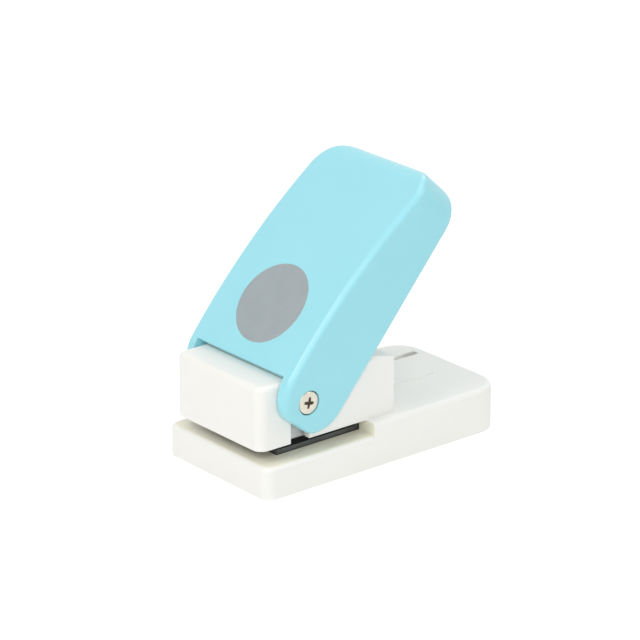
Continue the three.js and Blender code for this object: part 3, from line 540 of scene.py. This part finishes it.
# Head cover
# A white ABS shell over the guide block, with a sloping rear, a slot in each side for the journals
# and an opening on top for the lever's ribs.

cover_ease = 0.2
add_solid("head_moulding", "head_cover", "base", white, "white_plastic", cover_ease)

# Lever
# The lever is one turquoise moulding: an arched plate between two ears, with a tail wall, two ribs
# that hold the roller and a catch under the tail. It is drawn shut, then turned open about the pivot.

pivot_y, pivot_z = 14.6, 25.9
open_angle = math.radians(47)
lever_tail, lever_top = 87.8, 36.73
ear_outer, ear_inner = 23.15, 19.35
plate_depth, plate_front = 2.2, 16.6
edge_round = 1.9
lever_ease, lever_sharp_angle = 0.25, 38
crown_share, tail_fall = 0.297, 6.07
nose_y, nose_radius = 17.65, 11.4
nose_dip, dip_middle, dip_half = 1.3, math.radians(266), math.radians(38)
top_radius, low_radius, plan_radius = 6.2, 4.3, 10.6
tail_drop = 5.58

# The side outline: a long arc over the top, the tail's two corners with a short wall between them, and
# a straight underside that rises from the round nose to the tail. Each arc's centre follows from these.
crown_y = pivot_y + crown_share * (lever_tail - pivot_y)
arc_radius = ((lever_tail - crown_y) ** 2 + tail_fall**2) / (2 * tail_fall)
arc_z = lever_top - arc_radius
nose_z = arc_z + math.sqrt((arc_radius - nose_radius) ** 2 - (crown_y - nose_y) ** 2)
top_y, low_y = lever_tail - top_radius, lever_tail - low_radius
top_z = arc_z + math.sqrt((arc_radius - top_radius) ** 2 - (top_y - crown_y) ** 2)
low_z = top_z - tail_drop
rise = math.atan2(low_z - nose_z, low_y - nose_y)
rise += math.asin((nose_radius - low_radius) / math.hypot(low_y - nose_y, low_z - nose_z))
tail_angle = math.atan2(top_y - crown_y, top_z - arc_z)
under_angle = math.pi - rise
quarter = math.pi / 2


def turned_open(points):
    """Points of the shut lever turned about the pivot by the open angle: y cos - z sin, y sin + z cos."""
    shut = np.asarray(points, float) - [0, pivot_y, pivot_z]
    turn = Matrix.Rotation(open_angle, 3, "X")
    return in_row(shut @ np.array(turn).T + [0, pivot_y, pivot_z])


# The outline is kept as samples (centre y, centre z, radius, angle), the angle counted from straight up.
def arc_samples(centre_y, centre_z, radius, angle):
    """Samples of one arc at the given angles."""
    return as_points(centre_y, centre_z, radius, angle)


def along_line(first, last, shares):
    """Samples on the straight line between two samples with the same angle."""
    return first + (last - first) * np.asarray(shares)[:, None]


def at_inset(samples, inset):
    """The samples' points (y, z): centre + (radius - inset) (sin angle, cos angle)."""
    y, z, radius, angle = samples.T
    return as_points(y + (radius - inset) * np.sin(angle), z + (radius - inset) * np.cos(angle))


# Stations along the tail's corner in plan, with a break where the lower rim crosses the inner tail wall.
plan_y = lever_tail - plan_radius
inner_plan, inner_tail = plan_radius - plate_depth, lever_tail - plate_depth
break_y = low_y + (low_radius - edge_round) * (inner_tail - low_y) / low_radius
break_angle = math.asin((break_y - plan_y) / (plan_radius - edge_round))
side_stations, end_stations = 15, 9
to_break = np.linspace(0, break_angle, side_stations)
from_break = np.linspace(break_angle, quarter, end_stations)
plan_turns = np.concatenate([to_break, from_break[1:]])
station_y = plan_y + (plan_radius - edge_round) * np.sin(plan_turns)

line_tail = np.array([low_y, low_z, low_radius, under_angle])
nose_point = at_inset(np.array([[nose_y, nose_z, nose_radius, under_angle]]), 0)[0]
tail_point = at_inset(line_tail[None], 0)[0]
line_nose = line_tail + [*(nose_point - tail_point), 0, 0]


def upper_samples(y):
    """Where the inset top line has that y: on the long arc, then on the tail's upper corner."""
    on_arc = y <= top_y + (top_radius - edge_round) * math.sin(tail_angle)
    arc = np.arcsin((y - crown_y) / (arc_radius - edge_round))
    corner = np.arcsin(np.clip((y - top_y) / (top_radius - edge_round), -1, 1))
    long_arc = arc_samples(crown_y, arc_z, arc_radius, arc)
    return np.where(on_arc[:, None], long_arc, arc_samples(top_y, top_z, top_radius, corner))


def lower_samples(y):
    """Where the inset lower line has that y: on the tail's lower corner, or on the straight underside."""
    corner = math.pi - np.arcsin(np.clip((y - low_y) / (low_radius - edge_round), -1, 1))
    on_corner = corner <= under_angle
    start, end = at_inset(np.stack([line_tail, line_nose]), edge_round)[:, 0]
    straight = along_line(line_tail, line_nose, (y - start) / (end - start))
    return np.where(on_corner[:, None], arc_samples(low_y, low_z, low_radius, corner), straight)


arc_count, line_count, nose_count, wall_rows = 26, 10, 34, 4
arc_start = -math.asin((crown_y - plate_front) / arc_radius)
arc_end = math.asin((plan_y - crown_y) / (arc_radius - edge_round))
nose_end = 2 * math.pi - math.asin((nose_y - plate_front) / nose_radius)
top_line = arc_samples(crown_y, arc_z, arc_radius, np.linspace(arc_start, arc_end, arc_count))
upper_corner = upper_samples(station_y)[1:]
wall_top = np.array([top_y, top_z, top_radius, quarter])
wall_low = np.array([low_y, low_z, low_radius, quarter])
tail_wall = along_line(wall_top, wall_low, np.arange(1, wall_rows) / wall_rows)
tail_wall[:, 0] = lever_tail - tail_wall[:, 2]
lower_corner = lower_samples(station_y)[::-1]
line_share = (plan_y - tail_point[0]) / (nose_point[0] - tail_point[0])
line_shares = [line_share, *np.linspace(line_share, 1, line_count)[1:-1]]
underside = along_line(line_tail, line_nose, line_shares)
nose = arc_samples(nose_y, nose_z, nose_radius, np.linspace(under_angle, nose_end, nose_count))
# The nose is flatter straight ahead: its radius dips by a raised cosine wave about that direction.
off_dip = np.clip((nose[:, 3] - dip_middle) / dip_half, -1, 1)
nose[:, 2] -= nose_dip * (1 + np.cos(math.pi * off_dip)) / 2
outline = np.concatenate([top_line, upper_corner, tail_wall, lower_corner, underside, nose])

# Where the outline's stretches start and end, as places in it.
corner_start = len(top_line) - 1
wall_start = corner_start + len(upper_corner)
lower_start = wall_start + wall_rows
tail_break = lower_start + end_stations - 1
lower_end = lower_start + len(plan_turns) - 1
line_start = lower_end + 1

rim_line = at_inset(outline, 0)
inset_line = at_inset(outline, edge_round)


def plan_half_width(y, half_width, radius):
    """Half the width at y of a plan whose rear corners have that radius, centred on the same y."""
    reach = np.clip(y - plan_y, 0, radius)
    return half_width - radius + np.sqrt(np.maximum(radius**2 - reach**2, 0))


def spread_x(rows, start, end, count):
    """A grid: each (y, z) of the rows at count steps of x between that row's start and end."""
    x = start[:, None] + (end - start)[:, None] * np.linspace(0, 1, count + 1)[None, :]
    return as_points(x, rows[:, :1], rows[:, 1:])


# The plate spans the rows down to the break, and the lower rim of tail and ears follows from there.
wide_steps, side_steps = 8, 2
inner_x = plan_half_width(rim_line[:, 0], ear_inner, inner_plan)
centre_x = plan_half_width(inset_line[:, 0], ear_outer - edge_round, plan_radius - edge_round)
plate_rows = slice(0, tail_break + 1)
rim_rows = slice(tail_break, None)
plate_middle = spread_x(rim_line[plate_rows], 0 * inner_x[plate_rows], inner_x[plate_rows], wide_steps)
plate_side = spread_x(rim_line[plate_rows], inner_x[plate_rows], centre_x[plate_rows], side_steps)
ear_rim = spread_x(rim_line[rim_rows], inner_x[rim_rows], centre_x[rim_rows], side_steps)

# The rounded edge: a ball rolls between the outline and the side wall, centre + radius times a normal
# that turns evenly from one to the other.
edge_steps = 8
parallel, tiny = 1e-4, 1e-9
ball_centre = as_points(centre_x, *inset_line.T)
band_normal = as_points(0, np.sin(outline[:, 3]), np.cos(outline[:, 3]))
wall_normal = ball_centre - [ear_outer - plan_radius, plan_y, 0]
wall_normal[:, 2] = 0
wall_normal[inset_line[:, 0] <= plan_y + tiny] = [1, 0, 0]
wall_normal /= np.linalg.norm(wall_normal, axis=1, keepdims=True)
between = np.arccos(np.clip((band_normal * wall_normal).sum(1), -1, 1))[:, None, None]
share_round = np.linspace(0, 1, edge_steps + 1)[None, :, None]
sine = np.maximum(np.sin(between), tiny)
from_band = np.sin((1 - share_round) * between) / sine
from_wall = np.sin(share_round * between) / sine
rolled = from_band * band_normal[:, None] + from_wall * wall_normal[:, None]
rolled = np.where(between < parallel, band_normal[:, None], rolled)
round_edge = ball_centre[:, None] + edge_round * rolled
wall_line = round_edge[:, -1]

# The tail's rounded side wall is ruled between its upper and its lower edge.
upper_edge = wall_line[corner_start : wall_start + 1]
lower_edge = wall_line[lower_start : lower_end + 1][::-1]
share_down = (np.arange(wall_rows + 1) / wall_rows)[None, :, None]
corner_wall = upper_edge[:, None] * (1 - share_down) + lower_edge[:, None] * share_down

# The pivot's hole in each ear, recessed for the screw's head.
pivot_sides = 64
head_recess_radius, head_recess_depth, journal_hole_radius = 3.6, 1.5, 2.5
circle = np.linspace(0, 2 * math.pi, pivot_sides + 1)


def about_pivot(x, radius):
    """A circle of points about the pivot's axis at x."""
    return as_points(x, pivot_y + radius * np.cos(circle), pivot_z + radius * np.sin(circle))


recess_floor = ear_outer - head_recess_depth
hole_steps = (
    (ear_outer, head_recess_radius),
    (recess_floor, head_recess_radius),
    (recess_floor, journal_hole_radius),
    (ear_inner, journal_hole_radius),
)
pivot_hole = np.stack([about_pivot(*at) for at in hole_steps])
side_loop = np.concatenate([wall_line[: corner_start + 1], corner_wall[0, 1:-1], wall_line[lower_end:-1]])


def ceiling_z(y):
    """Height of the plate's underside: the long arc less the plate's depth, then the tail's corner."""
    inner = top_radius - plate_depth
    arc = arc_z + np.sqrt((arc_radius - plate_depth) ** 2 - (y - crown_y) ** 2)
    corner = top_z + np.sqrt(np.maximum(inner**2 - np.maximum(y - top_y, 0) ** 2, 0))
    return np.where(y <= top_y + inner * math.sin(tail_angle), arc, corner)


# The inside: the tail's inner corner, the plate's underside, the tail wall's back and the plate's front.
ceiling_count, height_count = 20, 7
inner_rows = slice(tail_break, line_start + 1)
corner_y, corner_z = rim_line[inner_rows].T
corner_x = inner_x[inner_rows]
share_up = np.linspace(0, 1, height_count)[None, :]
inner_height = corner_z[:, None] + (ceiling_z(corner_y) - corner_z)[:, None] * share_up
inner_corner = as_points(corner_x[:, None], corner_y[:, None], inner_height)
ceiling_y = np.concatenate([np.linspace(plate_front, plan_y, ceiling_count)[:-1], corner_y[::-1]])
ceiling_line = as_points(ceiling_y, ceiling_z(ceiling_y))
ceiling_x = plan_half_width(ceiling_y, ear_inner, inner_plan)
ceiling = spread_x(ceiling_line, 0 * ceiling_y, ceiling_x, wide_steps)
tail_height = inner_corner[0, :, 2]
tail_rows = as_points(inner_tail, tail_height)
tail_inside = spread_x(tail_rows, np.zeros(height_count), np.full(height_count, corner_x[0]), wide_steps)
front_rows = np.array([ceiling_line[0], rim_line[0]])
front_face = spread_x(front_rows, np.zeros(2), np.full(2, ear_inner), wide_steps)
inside_loop = np.concatenate([
    np.insert(rim_line[line_start:], 0, ear_inner, 1),
    np.insert(ceiling_line[: ceiling_count - 1], 0, ear_inner, 1),
    inner_corner[-1, 1:][::-1],
])

# The right half's surfaces and flat walls, then their mirror images.
half = [
    plate_middle, plate_side, ear_rim, round_edge, corner_wall,
    pivot_hole, inner_corner, ceiling, tail_inside, front_face,
]
half_flats = [[side_loop, pivot_hole[0, :-1]], [inside_loop, pivot_hole[-1, :-1]]]
mirror = np.array([-1, 1, 1])
lever_grids = half + [grid * mirror for grid in half]
lever_flats = half_flats + [[loop * mirror for loop in loops] for loops in half_flats]


def slab(outline_yz, x0, x1):
    """A flat outline drawn as (y, z), closed, carried from x0 to x1: the wall's grid and its two ends."""
    ring = np.asarray(outline_yz, float)
    closed = np.concatenate([ring, ring[:1]])
    wall = np.stack([np.insert(closed, 0, x, 1) for x in (x0, x1)])
    return wall, [[wall[0, :-1]], [wall[1, :-1]]]


# Each rib has a round end about the roller's pin, is shallow over the head and deeper behind it. Its
# top runs hidden inside the plate.
pin_reach, pin_steps = 7.07, 13
rib_inner, rib_outer = 5.5, 7.5
rib_end_radius = 2.4
rib_front, rib_rear, rib_low = 19.5, 31.5, 32.8
deep_start, deep_full, deep_end, deep_low = 52.75, 57.25, 81.2, 27.73
pin_y = pivot_y + pin_reach * math.cos(open_angle / 2)
pin_z = pivot_z - pin_reach * math.sin(open_angle / 2)
rib_turns = np.linspace(math.pi, 0, pin_steps)
rib_end = as_points(pin_y + rib_end_radius * np.cos(rib_turns), pin_z - rib_end_radius * np.sin(rib_turns))
rib_top = [(deep_end, 31.0), (66.0, 34.0), (50.0, 35.3)]
rib_outline = [
    (rib_front, 35.0), (rib_front, rib_low), *rib_end, (rib_rear, rib_low), (deep_start, rib_low),
    (deep_full, deep_low), (deep_end, deep_low), *rib_top,
]

# The catch hangs from the tail: a stem with a toe at its foot and a gusset at its root. The root runs
# hidden inside the plate and the tail wall.
catch_left, catch_right = -12.7, -11.3
toe_front, toe_low, toe_top = 80.1, 8.95, 10.65
stem_front, stem_rear, stem_top = 81.4, 82.8, 14.3
gusset_front, gusset_low = 78.2, 19.7
catch_root = [(gusset_front, 31.4), (82.5, 30.6), (86.7, 26.2), (86.7, 25.7), (stem_rear, 22.5)]
catch_outline = [
    (stem_rear, toe_low), (toe_front, toe_low), (toe_front, toe_top), (stem_front, toe_top),
    (stem_front, stem_top), (gusset_front, gusset_low), *catch_root,
]
right_rib = slab(rib_outline, rib_inner, rib_outer)
left_rib = slab(rib_outline, -rib_outer, -rib_inner)
for wall, ends in (right_rib, left_rib, slab(catch_outline, catch_left, catch_right)):
    lever_grids.append(wall)
    lever_flats += ends

turquoise_tones = (161, 228, 239), (157, 225, 236)
turquoise = grained_finish("turquoise_abs", turquoise_tones, roughness=0.26, depth=0.003, waves=40)
open_grids = [turned_open(grid) for grid in lever_grids]
open_flats = [[turned_open(loop) for loop in loops] for loops in lever_flats]
lever_mesh = surface_mesh("lever_moulding", open_grids, open_flats)
lever = add_object("lever_moulding", lever_mesh, "lever", turquoise, "turquoise_plastic", "lever_shell")
ease_edges(lever, lever_ease, sharper=lever_sharp_angle)

# Size disc
# A grey disc on the lever's plate shows the size of the hole. It follows the plate's arc, a hair
# proud of it, with a softly rounded rim.

disc_y, disc_radius, disc_depth, disc_proud = 34.2, 12.5, 0.3, 0.05
disc_rings, disc_sides, flat_share = 20, 128, 0.97
rim_shares, rim_falls = [0.985, 0.995, 1.0], [0.008, 0.03, 0.07]
angle = np.linspace(0, 2 * math.pi, disc_sides + 1)[None, :]
share_out = np.concatenate([np.linspace(0, flat_share, disc_rings), rim_shares, [1.0, 0.0]])[:, None]
below = np.concatenate([np.zeros(disc_rings), rim_falls, [disc_depth, disc_depth]])[:, None]
disc_x = disc_radius * share_out * np.cos(angle)
disc_along = disc_y + disc_radius * share_out * np.sin(angle)
tangent = (disc_along - crown_y) / arc_radius
disc_level = arc_radius + disc_proud - below
disc_back = crown_y + disc_level * np.sin(tangent)
disc_height = arc_z + disc_level * np.cos(tangent)
disc_points = as_points(disc_x, disc_back, disc_height)
disc_mesh = surface_mesh("grey_disc", [turned_open(disc_points)])
grey_tones = (160, 169, 172), (155, 164, 167)
grey = grained_finish(
    "grey_print", grey_tones, roughness=0.5, depth=0.01, clouds=220, drift=0.7, grain=4000, waves=120,
    spread=0.08, strength=0.2,
)
add_object("grey_disc", disc_mesh, "lever", grey, "grey_print", "size_disc")

# Roller and pin
# A ground steel roller turns on a pin between the lever's ribs and presses on the pusher plate. The
# pin passes through both ribs.

roller_ease, pin_ease = 0.2, 0.15
ground_tones = (212, 214, 216), (186, 189, 192)
ground_steel = machined_finish("ground_steel", ground_tones, 0.2, stretch=(0.05, 1, 1))
add_solid("roller_sleeve", "press_roller", "lever", ground_steel, "bright_steel", roller_ease)
add_solid("roller_axle", "roller_pin", "lever", ground_steel, "bright_steel", pin_ease)

# Studio
# A pale floor, soft square lamps in front, above and behind, and a long lens that looks down on the
# front right corner of the base. Places here are in metres, in the shared frame.

scene = bpy.context.scene
scene.view_settings.view_transform = "Standard"


def seen_rays(tree):
    """1 where the camera, a reflection or glass looks at the surface, and 0 for the light it casts."""
    rays = place(tree, "LightPath").outputs
    most = reckon(tree, "MAXIMUM", rays["Is Camera Ray"], rays["Is Glossy Ray"])
    return reckon(tree, "MAXIMUM", most, rays["Is Transmission Ray"])


floor_half, floor_lift = 4, 0.25
corners = floor_half * np.array([(-1, -1, 0), (1, -1, 0), (1, 1, 0), (-1, 1, 0)])
floor_mesh = bpy.data.meshes.new("floor")
floor_mesh.from_pydata(corners, [], [(0, 1, 2, 3)])
floor = bpy.data.objects.new("floor", floor_mesh)
scene.collection.objects.link(floor)
paper, paper_tree, paper_shader, paper_where = new_material("floor_paper", roughness=0.9)
paper_first, paper_second = linear(250, 250, 250), linear(248, 248, 248)
paper_drift = {"Colour": paper_first, "Second_colour": paper_second, "Scale": 3, "Amount": 0.5}
paper_tone = use(paper_tree, tone, Vector=paper_where, **paper_drift)
paper_tree.links.new(paper_tone["Colour"], paper_shader.inputs["Base Color"])
paper_shader.inputs["Specular IOR Level"].default_value = 0.1
paper_shader.inputs["Emission Color"].default_value = (1, 1, 1, 1)
lift = reckon(paper_tree, "MULTIPLY", seen_rays(paper_tree), floor_lift)
paper_tree.links.new(lift, paper_shader.inputs["Emission Strength"])
floor_mesh.materials.append(paper)

sky_light, sky_seen = 0.35, 1.0
world = bpy.data.worlds.new("studio")
scene.world = world
world.use_nodes = True
sky = world.node_tree
backdrop = sky.nodes["Background"]
level = place(sky, "MapRange", {"Value": seen_rays(sky), "To Min": sky_light, "To Max": sky_seen})
sky.links.new(level.outputs["Result"], backdrop.inputs["Strength"])
backdrop.inputs["Color"].default_value = (1, 1, 1, 1)

lit_point = Vector((0, 0, 0.03))


def soft_lamp(name, at, width, watts):
    """A square area lamp that faces the middle of the punch."""
    lamp = bpy.data.lights.new(name, "AREA")
    lamp.size = width
    lamp.energy = watts
    made = bpy.data.objects.new(name, lamp)
    scene.collection.objects.link(made)
    made.location = at
    made.rotation_euler = (lit_point - Vector(at)).to_track_quat("-Z", "Y").to_euler()


soft_lamp("key_lamp", at=(0.0, -0.95, 0.95), width=0.6, watts=5.5)
soft_lamp("near_lamp", at=(0.84, -0.54, 0.80), width=0.5, watts=2.3)
soft_lamp("front_lamp", at=(0.905, -0.741, 0.442), width=0.5, watts=1.6)
soft_lamp("top_lamp", at=(0.1, 0.25, 1.3), width=0.6, watts=3.2)
soft_lamp("rear_lamp", at=(0.75, 0.75, 0.7), width=0.5, watts=1.8)
soft_lamp("far_lamp", at=(-0.5, 0.9, 0.8), width=0.5, watts=2.3)

# The camera stands back from its target along a direction, and is rolled a little about it.
azimuth, elevation, roll = math.radians(50.676), math.radians(20.721), math.radians(-0.105)
target, distance = np.array([-0.033123, 0.021495, 0.021799]), 1.05
level_reach = math.cos(elevation)
back = np.array([math.sin(azimuth) * level_reach, -math.cos(azimuth) * level_reach, math.sin(elevation)])
right = np.array([math.cos(azimuth), math.sin(azimuth), 0.0])
upward = np.cross(back, right)
level_right = right * math.cos(roll) + upward * math.sin(roll)
level_up = upward * math.cos(roll) - right * math.sin(roll)
camera_data = bpy.data.cameras.new("camera")
camera_data.lens = 199.6
camera_data.sensor_width = 36.0
camera_data.shift_x = -0.00295
camera_data.clip_start = 0.01
camera_data.clip_end = 20.0
camera = bpy.data.objects.new("camera", camera_data)
scene.collection.objects.link(camera)
stand = Matrix(np.stack([level_right, level_up, back], -1).tolist()).to_4x4()
stand.translation = Vector(target + distance * back)
camera.matrix_world = stand
scene.camera = camera
